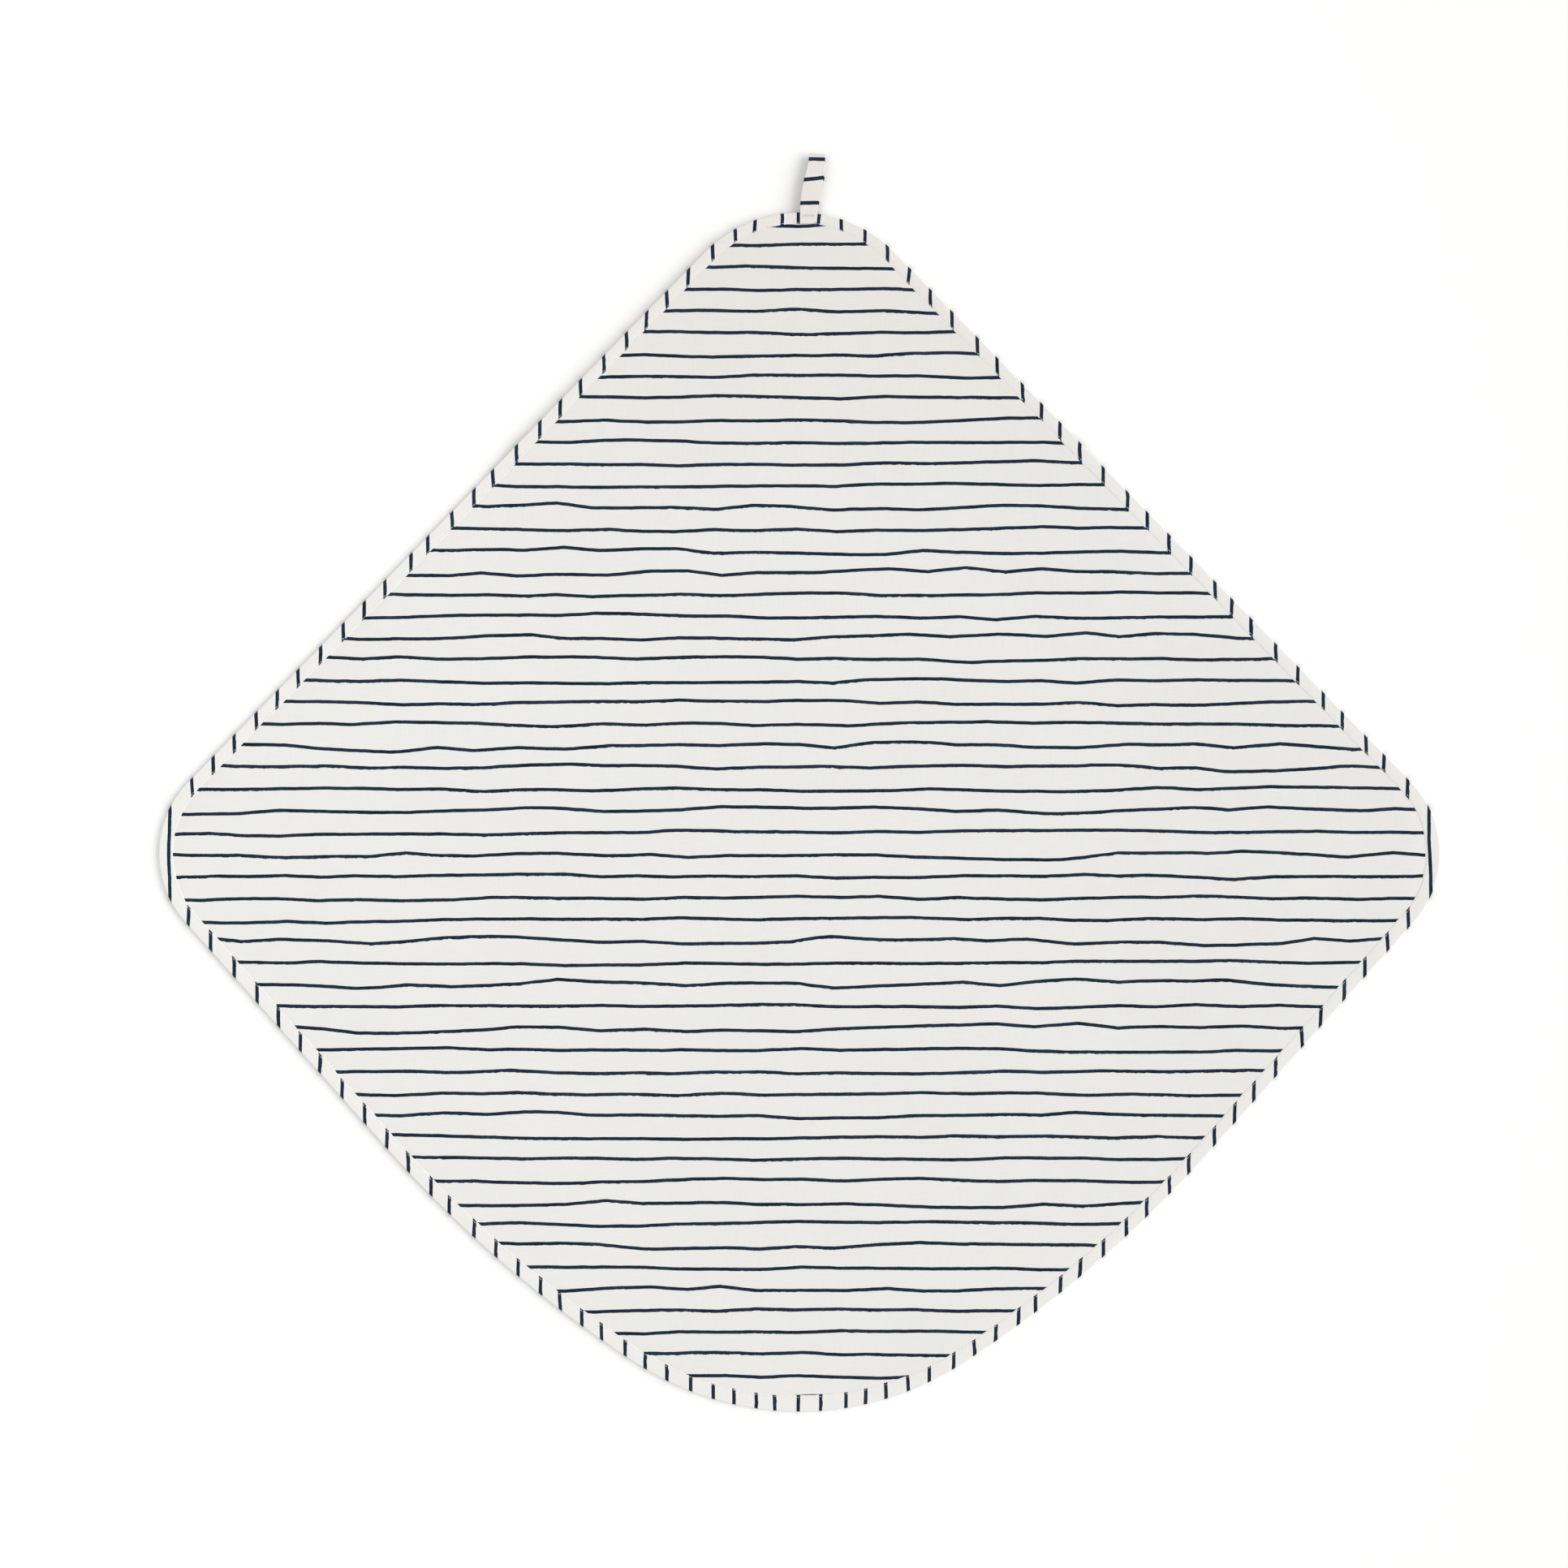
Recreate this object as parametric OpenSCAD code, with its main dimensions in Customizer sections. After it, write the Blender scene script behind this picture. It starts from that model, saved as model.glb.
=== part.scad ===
// Hooded baby towel, laid flat with its printed side up and its hood underneath.
// Two layers of cloth, printed cotton over terry, are bound together round the edge.
// A triangle of the same two cloths is caught in the binding at the top corner as the
// hood, and a tape loop is sewn on at that corner's point. +Y runs towards the hood
// corner, +Z is up, and the whole part stands on z = 0.
// The cloth layers and the binding are each one piece on the real towel. Here they are
// split where the hood corner folds, so that each side of the fold is its own solid.

/* [Outline] */
// Width from side corner to side corner
towel_w = 999; // [700:1:1200]
// Slope of the two upper edges, in degrees from level
upper_slope = 45.7; // [44:0.1:47]
// Slope of the two lower edges where they leave the side corners
lower_slope = 48.3; // [47:0.1:50]
// Slope at which the bottom corner's round begins
bottom_turn = 33; // [28:1:36]
// Radius of the hood corner
top_r = 104; // [60:1:140]
// Radius of the two side corners
side_r = 80; // [50:1:120]
// Radius of the bottom corner
bottom_r = 234; // [180:1:280]
// Radius of the gently bowed stretch above the bottom corner
flank_r = 951; // [700:1:1100]

/* [Cloth] */
// Thickness of the printed cotton
print_t = 0.6; // [0.4:0.1:0.8]
// Thickness of the terry, pile included
terry_t = 2.4; // [1.6:0.1:3.2]
// Thickness of the hood's own terry lining
lining_t = 1; // [0.8:0.1:1.4]

/* [Binding] */
// Width of the edge binding, as seen from above
bind_w = 10.5; // [8:0.5:14]
// Thickness of the binding tape
bind_t = 0.5; // [0.3:0.1:0.6]
// How far the row of stitches runs inside the binding's inner edge
stitch_in = 1; // [0.8:0.1:2]
// Width of a row of stitches
stitch_w = 0.5; // [0.4:0.1:0.8]
// Height that the thread stands above the tape
stitch_t = 0.2; // [0.1:0.05:0.3]

/* [Hood] */
// Length of each hood seam, measured from where the two upper edges would meet
hood_leg = 300; // [240:5:340]
// Plain cloth between the hood's mouth and the line that the corner folds on
crease_w = 15; // [12:1:25]
// Width of the binding on the hood's mouth
mouth_bind_w = 10; // [8:0.5:12]
// Thickness of the tape on the hood's mouth
mouth_bind_t = 0.4; // [0.3:0.1:0.5]
// Room between the hood and the edge binding, so that the hood can open
hood_clear = 2.5; // [2:0.1:4]
// Room between the hood's lining and the corner behind it
pocket_gap = 0.3; // [0.3:0.05:0.6]

/* [Hanging loop] */
// Width of the loop's tape
loop_w = 13.4; // [10:0.1:16]
// How far the loop reaches beyond the hood corner
loop_reach = 45.3; // [35:0.1:60]
// Thickness of the loop's tape
loop_t = 0.6; // [0.5:0.1:0.8]
// Clear height inside the loop
loop_gap = 4.8; // [4.6:0.1:6]
// Angle that the loop leans towards +X
loop_lean = 8; // [0:1:12]
// Distance of the loop from the middle of the corner, towards +X
loop_x = 7.3; // [0:0.1:10]
// Length of tape sewn down on the binding
tail_l = 7.8; // [6:0.2:7.8]

/* [Care label] */
// Width of the blank care label
label_w = 28; // [20:1:40]
// Length of the blank care label
label_l = 46; // [35:1:60]
// Thickness of the care label
label_t = 0.3; // [0.2:0.1:0.3]

/* [Hidden] */

$fn = 48;
eps = 0.01;
far = 2000;

// Directions that face squarely out of the straight stretches, as angles from +X
upper_face = 90 - upper_slope;
lower_face = lower_slope - 90;
bottom_face = bottom_turn - 90;
function facing(a) = [cos(a), sin(a)];

// Centres of the outline's arcs, measured first from the hood corner's tip
upper_n = facing(upper_face);
lower_n = facing(lower_face);
side_x = towel_w / 2 - side_r;
upper_reach = top_r - top_r * upper_n[1];
side_y = (upper_reach - side_r - side_x * upper_n[0]) / upper_n[1];
flank_turn = lower_face - bottom_face;
bottom_y = (side_x * lower_n[0] + side_y * lower_n[1] + side_r
            - flank_r + (flank_r - bottom_r) * cos(flank_turn)) / lower_n[1];
cloth_h = bottom_r - bottom_y;

// The tip's height in the part's own frame, with the whole part centred on the origin
tip_y = (cloth_h - loop_reach) / 2;
top_c = [0, tip_y - top_r];
side_c = [side_x, tip_y + side_y];
bottom_c = [0, tip_y + bottom_y];
flank_c = bottom_c - (flank_r - bottom_r) * facing(bottom_face);

// The corner folds on a line just below the hood's mouth
corner_point_y = tip_y - top_r + top_r / upper_n[1];
mouth_y = corner_point_y - hood_leg * sin(upper_slope);
fold_y = mouth_y - crease_w;
fold_gap = 0.4;

// Heights of the layers in the body of the towel
body_top = terry_t + print_t;
edge_top = body_top + bind_t;

// Heights of the layers in the hood corner, where the hood lies underneath
hood_print_z = mouth_bind_t;
lining_z = hood_print_z + print_t;
mouth_top = lining_z + lining_t + mouth_bind_t;
corner_terry_z = mouth_top + stitch_t + pocket_gap;
corner_print_z = corner_terry_z + terry_t;
corner_top = corner_print_z + print_t;
corner_edge_top = corner_top + bind_t;

// The loop's tape, sewn on top of the corner's binding
tail_top = corner_edge_top + 2 * loop_t;
loop_h = loop_gap + 2 * loop_t;
tack_w = 1.5;
tack_t = 0.2;

// The label's place on the terry side, and the shallow bed that it presses in the pile
label_at = [-150, -290];
label_turn = -45;
label_bed = 0.4;

function arc(c, r, from, to, steps) =
    [for (i = [0:steps]) c + r * facing(from + (to - from) * i / steps)];

// The right half of the outline from the bottom to the tip, drawn "inset" from the edge
function right_half(inset) = concat(
    arc(bottom_c, bottom_r - inset, -90, bottom_face, 12),
    arc(flank_c, flank_r - inset, bottom_face, lower_face, 4),
    arc(side_c, side_r - inset, lower_face, upper_face, 14),
    arc(top_c, top_r - inset, upper_face, 90, 14));

function outline(inset) =
    let (half = right_half(inset), last = len(half) - 1)
    concat(half, [for (i = [last - 1:-1:1]) [-half[i][0], half[i][1]]]);

module slab(inset, from_z, to_z) {
    translate([0, 0, from_z])
        linear_extrude(height = to_z - from_z)
            polygon(outline(inset));
}

// Keeps what lies below the fold, or above it
module below_fold() {
    intersection() {
        children();
        translate([-far / 2, fold_y - far, -1]) cube([far, far, 20]);
    }
}

module above(y) {
    intersection() {
        children();
        translate([-far / 2, y, -1]) cube([far, far, 20]);
    }
}

// A tape folded round the edge, seen in section as a C that opens inwards
module folded_tape(top) {
    difference() {
        slab(0, 0, top);
        slab(bind_t, bind_t, top - bind_t);
        slab(bind_w, -1, top + 1);
    }
}

// One row of stitches along the binding's inner edge
module stitch_row(z) {
    difference() {
        slab(bind_w - stitch_in - stitch_w, z, z + stitch_t);
        slab(bind_w - stitch_in, z - 1, z + 1);
    }
}

module label_place() {
    translate([label_at[0], label_at[1], 0]) rotate([0, 0, label_turn]) children();
}

module outer_panel() {
    color("ivory") below_fold() slab(bind_t, terry_t, body_top);
}

module outer_corner() {
    color("ivory") above(fold_y + fold_gap) slab(bind_t, corner_print_z, corner_top);
}

// The terry is thinner under the binding, and pressed down over the care label
module terry_panel() {
    color("white") difference() {
        below_fold() union() {
            slab(bind_t, bind_t, terry_t);
            slab(bind_w, 0, terry_t);
        }
        label_place()
            translate([-label_w / 2 - 1, -label_l / 2 - 1, -1])
                cube([label_w + 2, label_l + 2, 1 + label_bed]);
    }
}

module terry_corner() {
    color("white") above(fold_y + fold_gap) slab(bind_t, corner_terry_z, corner_print_z);
}

module edge_binding() {
    color("linen") below_fold() folded_tape(edge_top);
}

module corner_binding() {
    color("linen") above(fold_y + fold_gap) folded_tape(corner_edge_top);
}

module edge_stitching() {
    color("white") below_fold() stitch_row(edge_top);
}

module corner_stitching() {
    color("white") above(fold_y + fold_gap) stitch_row(corner_edge_top);
}

module hood_outer() {
    color("ivory") above(mouth_y + mouth_bind_t)
        slab(bind_w + hood_clear, hood_print_z, lining_z);
}

module hood_lining() {
    color("white") above(mouth_y + mouth_bind_t)
        slab(bind_w + hood_clear, lining_z, lining_z + lining_t);
}

// The hood's two seam edges, pressed flat inside the folded binding
module hood_seam_allowance() {
    color("gainsboro") above(mouth_y) difference() {
        slab(bind_t, bind_t, corner_terry_z);
        slab(bind_w, 0, corner_terry_z + 1);
    }
}

module hood_mouth_binding() {
    color("linen") difference() {
        intersection() {
            above(mouth_y) slab(bind_w + hood_clear, 0, mouth_top);
            translate([-far / 2, mouth_y, -1]) cube([far, mouth_bind_w, 20]);
        }
        translate([-far / 2, mouth_y + mouth_bind_t, mouth_bind_t])
            cube([far, mouth_bind_w, mouth_top - 2 * mouth_bind_t]);
    }
}

module hood_mouth_stitching() {
    color("white") intersection() {
        slab(bind_w + hood_clear, mouth_top, mouth_top + stitch_t);
        translate([-far / 2, mouth_y + mouth_bind_w - stitch_in - stitch_w, 0])
            cube([far, stitch_w, 20]);
    }
}

// Both ends of the loop's tape, one on the other, sewn on top of the binding
module loop_tail() {
    color("ivory") translate([loop_x - loop_w / 2, tip_y - tail_l - 1, corner_edge_top])
        cube([loop_w, tail_l, 2 * loop_t]);
}

module loop_bar_tack() {
    color("white") translate([loop_x - loop_w / 2, tip_y - 2 - tack_w, tail_top])
        cube([loop_w, tack_w, tack_t]);
}

module round_ended(length, height) {
    r = height / 2;
    translate([r, -r]) square([length - height, height]);
    translate([r, 0]) circle(r = r);
    translate([length - r, 0]) circle(r = r);
}

// The free part of the loop, a flat ring of tape lying on its side
module hanging_loop() {
    base_y = tip_y + 1.3;
    length = tip_y + loop_reach - base_y;
    color("ivory")
        translate([loop_x, base_y, tail_top - loop_h / 2])
            rotate([0, 0, -loop_lean])
                rotate([90, 0, 90])
                    translate([0, 0, -loop_w / 2])
                        linear_extrude(height = loop_w)
                            difference() {
                                round_ended(length, loop_h);
                                translate([loop_t, 0])
                                    round_ended(length - 2 * loop_t, loop_gap);
                            }
}

module care_label() {
    color("whitesmoke") label_place()
        translate([-label_w / 2, -label_l / 2, label_bed - label_t])
            cube([label_w, label_l, label_t]);
}

outer_panel();
outer_corner();
terry_panel();
terry_corner();
edge_binding();
corner_binding();
edge_stitching();
corner_stitching();
hood_outer();
hood_lining();
hood_seam_allowance();
hood_mouth_binding();
hood_mouth_stitching();
loop_tail();
loop_bar_tack();
hanging_loop();
care_label();
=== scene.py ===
"""Hooded baby towel, laid flat with its printed side up, its hood folded underneath."""
import math

import bpy
import numpy as np
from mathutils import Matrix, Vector


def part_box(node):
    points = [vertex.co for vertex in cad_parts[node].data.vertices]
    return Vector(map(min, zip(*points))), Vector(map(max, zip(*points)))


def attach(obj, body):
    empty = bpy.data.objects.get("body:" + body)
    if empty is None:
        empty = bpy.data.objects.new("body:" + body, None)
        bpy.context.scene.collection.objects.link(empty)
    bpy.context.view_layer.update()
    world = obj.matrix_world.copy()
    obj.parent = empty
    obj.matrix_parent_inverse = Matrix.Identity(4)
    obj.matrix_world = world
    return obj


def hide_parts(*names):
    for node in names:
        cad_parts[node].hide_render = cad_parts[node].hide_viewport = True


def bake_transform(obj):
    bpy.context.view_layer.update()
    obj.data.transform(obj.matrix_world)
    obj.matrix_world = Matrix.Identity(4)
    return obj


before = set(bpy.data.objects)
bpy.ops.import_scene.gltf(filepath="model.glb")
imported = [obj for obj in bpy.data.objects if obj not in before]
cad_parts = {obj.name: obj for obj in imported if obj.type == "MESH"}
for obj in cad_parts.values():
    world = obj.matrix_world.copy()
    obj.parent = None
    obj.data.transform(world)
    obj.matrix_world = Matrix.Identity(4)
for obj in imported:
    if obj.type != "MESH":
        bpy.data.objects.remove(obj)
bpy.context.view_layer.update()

MM = 0.001
TAU = 2 * math.pi


# ---------------------------------------------------------------- places, from the CAD model

def low(node):
    return np.array(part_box(node)[0])


def high(node):
    return np.array(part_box(node)[1])


HALF_W = high("edge_binding")[0]
BOTTOM_Y = low("edge_binding")[1]
TIP_Y = high("corner_binding")[1]
FOLD_Y = high("edge_binding")[1]
MOUTH_Y = low("hood_mouth_binding")[1]
MOUTH_BIND_W = high("hood_mouth_binding")[1] - MOUTH_Y

PRINT_T = high("outer_panel")[2] - low("outer_panel")[2]
BODY_TOP = high("outer_panel")[2]
EDGE_TOP = high("edge_binding")[2]
CORNER_LIFT = low("terry_corner")[2]
CORNER_EDGE_TOP = high("corner_binding")[2]
HOOD_PRINT_Z = low("hood_outer")[2]
LINING_Z = low("hood_lining")[2]
LINING_TOP = high("hood_lining")[2]
MOUTH_TOP = high("hood_mouth_binding")[2]
LOOP_TIP_Y = high("hanging_loop")[1]
LOOP_X = (low("loop_tail")[0] + high("loop_tail")[0]) / 2
LOOP_W = high("loop_tail")[0] - low("loop_tail")[0]
TAIL_Y = low("loop_tail")[1]
LABEL_MIDDLE = (low("care_label") + high("care_label")) / 2
LABEL_TOP = high("care_label")[2]
LABEL_W = 28 * MM
LABEL_L = 46 * MM
LABEL_T = 0.22 * MM

# The outline's shape, as the CAD model draws it
UPPER_SLOPE = math.radians(45.7)
LOWER_SLOPE = math.radians(48.3)
BOTTOM_TURN = math.radians(33)
TOP_R = 104 * MM
SIDE_R = 80 * MM
BOTTOM_R = 234 * MM
OUTLINE_STEPS = 400

# The print: level lines, drawn by a pen that runs straight for a while and then turns a little.
# Long runs and short ones add up, and some lines stray further than others.
PITCH = 16.96 * MM
STRIPE_Y = 419 * MM
LONG_RUN = 105 * MM
LONG_SWING = 4.0 * MM
SHORT_RUN = 31 * MM
SHORT_SWING = 2.6 * MM
STEADY_LINE = 0.8
STRAYING_LINE = 1.7
# On the panel and the loop the lines lie a trace closer together than on the binding
PRINT_STRETCH = 1.0012
# The binding is cut crosswise: its cloth is turned a quarter round, then moved this far
BINDING_ALONG = 204.6 * MM
BINDING_ACROSS = 198.4 * MM


# ---------------------------------------------------------------- the outline

def facing(angle):
    return np.array([math.cos(angle), math.sin(angle)])


def outline_arcs():
    """(centre, radius, from, to) of each arc of the right half, from the bottom to the tip."""
    upper = math.pi / 2 - UPPER_SLOPE
    lower = LOWER_SLOPE - math.pi / 2
    bottom = BOTTOM_TURN - math.pi / 2
    top_c = np.array([0, TIP_Y - TOP_R])
    side_x = HALF_W - SIDE_R
    reach = top_c @ facing(upper) + TOP_R
    side_c = np.array([side_x, (reach - SIDE_R - side_x * math.cos(upper)) / math.sin(upper)])
    bottom_c = np.array([0, BOTTOM_Y + BOTTOM_R])
    # The flank's radius is the one that joins the bottom round to the lower straight
    turn = math.cos(lower - bottom)
    gap = side_c @ facing(lower) + SIDE_R - bottom_c @ facing(lower) - BOTTOM_R * turn
    flank_r = gap / (1 - turn)
    flank_c = bottom_c - (flank_r - BOTTOM_R) * facing(bottom)
    return [(bottom_c, BOTTOM_R, -math.pi / 2, bottom), (flank_c, flank_r, bottom, lower),
            (side_c, SIDE_R, lower, upper), (top_c, TOP_R, upper, math.pi / 2)]


def dense_half():
    """Points, outward angles and lengths along the right half of the outline, closely spaced."""
    points, angles = [], []
    for centre, radius, start, end in outline_arcs():
        if points:
            join = centre + radius * facing(start)
            for t in np.linspace(0, 1, OUTLINE_STEPS)[1:-1]:
                points.append(last + (join - last) * t)
                angles.append(start)
        for angle in np.linspace(start, end, OUTLINE_STEPS):
            points.append(centre + radius * facing(angle))
            angles.append(angle)
        last = points[-1]
    points, angles = np.array(points), np.array(angles)
    points[0, 0] = points[-1, 0] = 0
    along = np.concatenate([[0], np.cumsum(np.linalg.norm(np.diff(points, axis=0), axis=1))])
    return points, angles, along


HALF_P, HALF_A, HALF_S = dense_half()
HALF_LENGTH = HALF_S[-1]


def half_width(y, inset):
    """The outline's half width at each height y, drawn inset from the edge."""
    x = HALF_P[:, 0] - inset * np.cos(HALF_A)
    level = HALF_P[:, 1] - inset * np.sin(HALF_A)
    return np.interp(y, level, x)


def smooth(t):
    """An even passage from 0 to 1 as t goes from 0 to 1."""
    t = np.clip(t, 0, 1)
    return t * t * (3 - 2 * t)


# ---------------------------------------------------------------- how the cloth lies

CREASE_START = FOLD_Y - 7 * MM
CREASE_END = FOLD_Y + 9 * MM
RAMP_LENGTH = 42 * MM
SWELL = 0.45 * MM
SWELL_LENGTH = 100 * MM
# Each wave of the cloth: its turns in that length across and along the towel, and where it starts
SWELL_WAVES = [(0.31, 0.11, 0.6), (-0.17, 0.26, 2.1), (0.09, -0.37, 4.0), (0.43, 0.29, 1.3),
               (-0.52, 0.41, 5.2)]


def lift(y):
    """How far the hood underneath raises the corner's cloth."""
    return CORNER_LIFT * smooth((y - (MOUTH_Y - RAMP_LENGTH)) / RAMP_LENGTH)


def swell(x, y):
    """The cloth's own slow rises and dips, mostly above where it rests."""
    total = sum(np.sin(TAU * (x * a + y * b) / SWELL_LENGTH + c) for a, b, c in SWELL_WAVES)
    return SWELL * (total / len(SWELL_WAVES) + 0.5)


def fine_steps(start, end, coarse, fine, fine_from, fine_to):
    """Values from start to end, coarse apart, and fine apart between fine_from and fine_to."""
    values, v = [start], start
    while v < end - 1e-9:
        v += fine if fine_from - fine < v < fine_to else coarse
        values.append(min(v, end))
    return np.array(values)


# ---------------------------------------------------------------- meshes

TUBE_SIDES = 6


def mesh_object(name, verts, faces, rest=None):
    """A smooth-shaded object that keeps each point's place on the flat cloth for its material."""
    mesh = bpy.data.meshes.new(name)
    mesh.from_pydata([tuple(v) for v in verts], [], [tuple(f) for f in faces])
    mesh.validate()
    attribute = mesh.attributes.new("rest", "FLOAT_VECTOR", "POINT")
    place = np.asarray(verts if rest is None else rest, np.float32)
    attribute.data.foreach_set("vector", place.ravel())
    mesh.polygons.foreach_set("use_smooth", [True] * len(mesh.polygons))
    mesh.update()
    obj = bpy.data.objects.new(name, mesh)
    bpy.context.scene.collection.objects.link(obj)
    return obj


def quads(rows, cols, closed_rows=False, closed_cols=False, base=0):
    """The faces of a grid of points numbered row by row."""
    r = np.arange(rows if closed_rows else rows - 1)
    c = np.arange(cols if closed_cols else cols - 1)
    r, c = np.meshgrid(r, c, indexing="ij")
    r2, c2 = (r + 1) % rows, (c + 1) % cols
    faces = np.stack([r * cols + c, r * cols + c2, r2 * cols + c2, r2 * cols + c], axis=-1)
    return (faces.reshape(-1, 4) + base).tolist()


def plate(name, x, y, top, bottom, rest=None):
    """A closed sheet from grids of x, y, upper z and lower z."""
    rows, cols = x.shape
    n = rows * cols
    upper = np.stack([x, y, top], axis=-1).reshape(-1, 3)
    lower = np.stack([x, y, bottom], axis=-1).reshape(-1, 3)
    faces = quads(rows, cols) + [f[::-1] for f in quads(rows, cols, base=n)]
    rim = [[i * cols for i in range(rows)], [i * cols + cols - 1 for i in range(rows)][::-1],
           list(range(cols))[::-1], [(rows - 1) * cols + i for i in range(cols)]]
    for line in rim:
        faces += [[b, a, a + n, b + n] for a, b in zip(line, line[1:])]
    both = None if rest is None else np.vstack([rest, rest])
    obj = mesh_object(name, np.vstack([upper, lower]), faces, rest=both)
    obj.data.set_sharp_from_angle(angle=math.radians(50))
    return obj


def tube_mesh(paths, radius):
    """One mesh of thin tubes with round ends, each along its own short list of points."""
    verts, faces = [], []
    for path in paths:
        path = np.asarray(path, float)
        ahead = np.gradient(path, axis=0)
        ahead /= np.linalg.norm(ahead, axis=1)[:, None]
        side = np.cross(ahead, [0, 0, 1.0])
        side /= np.maximum(np.linalg.norm(side, axis=1), 1e-9)[:, None]
        up = np.cross(side, ahead)
        base = len(verts)
        for i, p in enumerate(path):
            r = radius * (0.45 if i in (0, len(path) - 1) else 1)
            for k in range(TUBE_SIDES):
                a = TAU * k / TUBE_SIDES
                verts.append(p + r * (math.cos(a) * side[i] + math.sin(a) * up[i]))
        faces += quads(len(path), TUBE_SIDES, closed_cols=True, base=base)
        first_ring = [base + k for k in range(TUBE_SIDES)]
        last_ring = [len(verts) - TUBE_SIDES + k for k in range(TUBE_SIDES)]
        faces += [first_ring[::-1], last_ring]
    return verts, faces


# ---------------------------------------------------------------- materials

class Nodes:
    """A short way to write a material's nodes."""

    def __init__(self, name):
        self.material = bpy.data.materials.new(name)
        self.material.use_nodes = True
        self.tree = self.material.node_tree
        self.shader = self.tree.nodes["Principled BSDF"]

    def add(self, kind, **settings):
        node = self.tree.nodes.new(kind)
        for key, value in settings.items():
            setattr(node, key, value)
        return node

    def put(self, value, socket):
        if isinstance(value, bpy.types.NodeSocket):
            self.tree.links.new(value, socket)
        else:
            socket.default_value = value

    def math(self, operation, a, b=0.0, clamp=False):
        node = self.add("ShaderNodeMath", operation=operation, use_clamp=clamp)
        for value, socket in zip((a, b), node.inputs):
            self.put(value, socket)
        return node.outputs[0]

    def times(self, a, b):
        return self.math("MULTIPLY", a, b)

    def minus(self, a, b):
        return self.math("SUBTRACT", a, b)

    def total(self, first, *others):
        for value in others:
            first = self.math("ADD", first, value)
        return first

    def rest(self):
        """A point's place on the flat cloth, as x, y and z."""
        node = self.add("ShaderNodeAttribute", attribute_name="rest")
        split = self.add("ShaderNodeSeparateXYZ")
        self.put(node.outputs["Vector"], split.inputs[0])
        return split.outputs[0], split.outputs[1], split.outputs[2]

    def vector(self, x, y, z=0.0):
        node = self.add("ShaderNodeCombineXYZ")
        for value, socket in zip((x, y, z), node.inputs):
            self.put(value, socket)
        return node.outputs[0]

    def noise(self, at, scale, detail, roughness=0.5):
        """Noise from about -0.5 to 0.5."""
        node = self.add("ShaderNodeTexNoise")
        self.put(at, node.inputs["Vector"])
        node.inputs["Scale"].default_value = scale
        node.inputs["Detail"].default_value = detail
        node.inputs["Roughness"].default_value = roughness
        return self.minus(node.outputs[0], 0.5)

    def white(self, x, y, z):
        """A random value from 0 to 1 for each set of whole numbers, always the same one."""
        node = self.add("ShaderNodeTexWhiteNoise")
        self.put(self.vector(x, y, z), node.inputs["Vector"])
        return node.outputs["Value"]

    def step(self, value, start, end, low_value=0.0, high_value=1.0):
        node = self.add("ShaderNodeMapRange", interpolation_type="SMOOTHSTEP")
        for v, socket in zip((value, start, end, low_value, high_value), node.inputs):
            self.put(v, socket)
        return node.outputs[0]

    def shaded(self, colour, shade):
        """A colour, lighter or darker by a shade of about 1."""
        return self.mix(1.0, colour, self.vector(shade, shade, shade), "MULTIPLY")

    def mix(self, factor, a, b, blend="MIX"):
        node = self.add("ShaderNodeMix", data_type="RGBA", blend_type=blend)
        self.put(factor, node.inputs[0])
        self.put(a, node.inputs[6])
        self.put(b, node.inputs[7])
        return node.outputs[2]

    def bump(self, height, distance, strength):
        node = self.add("ShaderNodeBump")
        node.inputs["Strength"].default_value = strength
        node.inputs["Distance"].default_value = distance
        self.put(height, node.inputs["Height"])
        return node.outputs[0]


CLOTH = (0.706, 0.693, 0.665, 1)
BINDING_CLOTH = (0.722, 0.710, 0.682, 1)
LOOP_CLOTH = (0.716, 0.688, 0.655, 1)
INK = (0.008, 0.021, 0.042, 1)
TERRY_COTTON = (0.86, 0.845, 0.81, 1)
THREAD_COTTON = (0.86, 0.835, 0.80, 1)
SATIN = (0.82, 0.82, 0.81, 1)

# Half the width of the pen's line, on each piece of cloth, and how soft its edge is
PANEL_PEN = 1.335 * MM
BINDING_PEN = 1.40 * MM
LOOP_PEN = 1.55 * MM
INK_EDGE = 0.14 * MM
# Lengths over which a weave, a thread's plies and the label's stitches repeat
WEAVE_REPEAT = 0.62 * MM
PLY_REPEAT = 0.35 * MM
LABEL_STITCH = 2.6 * MM
LABEL_ROW_INSET = 2.5 * MM
# How often a thread's tone changes across it and along it, to the metre
ACROSS_THREAD = 2400.0
ALONG_THREAD = 60.0


def line_noise(m, along, line, per_metre, seed, detail, roughness=0.5):
    """Noise that changes along a line of the print, and differs from line to line."""
    place = m.vector(m.times(along, per_metre), m.times(line, 7.3), seed)
    return m.noise(place, 1.0, detail, roughness)


def straight_runs(m, along, line, length, seed):
    """Heights from -0.5 to 0.5 joined by straight runs, each of about the given length."""
    uneven = line_noise(m, along, line, 0.3 / length, seed, 0.0)
    run = m.total(m.math("DIVIDE", along, length), uneven)
    turn = m.math("FLOOR", run)
    before = m.white(turn, line, seed)
    after = m.white(m.total(turn, 1.0), line, seed)
    rise = m.times(m.minus(after, before), m.minus(run, turn))
    return m.minus(m.total(before, rise), 0.5)


def pen_height(m, along, line):
    """How far the pen strays from a line's level."""
    long_runs = m.times(straight_runs(m, along, line, LONG_RUN, 1.0), LONG_SWING)
    short_runs = m.times(straight_runs(m, along, line, SHORT_RUN, 2.0), SHORT_SWING)
    straying = m.step(m.white(line, 0.0, 3.0), 0.5, 1.0, STEADY_LINE, STRAYING_LINE)
    shake = m.times(line_noise(m, along, line, 70.0, 5.1, 2.0), 0.9 * MM)
    return m.total(m.times(m.total(long_runs, short_runs), straying), shake)


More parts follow.
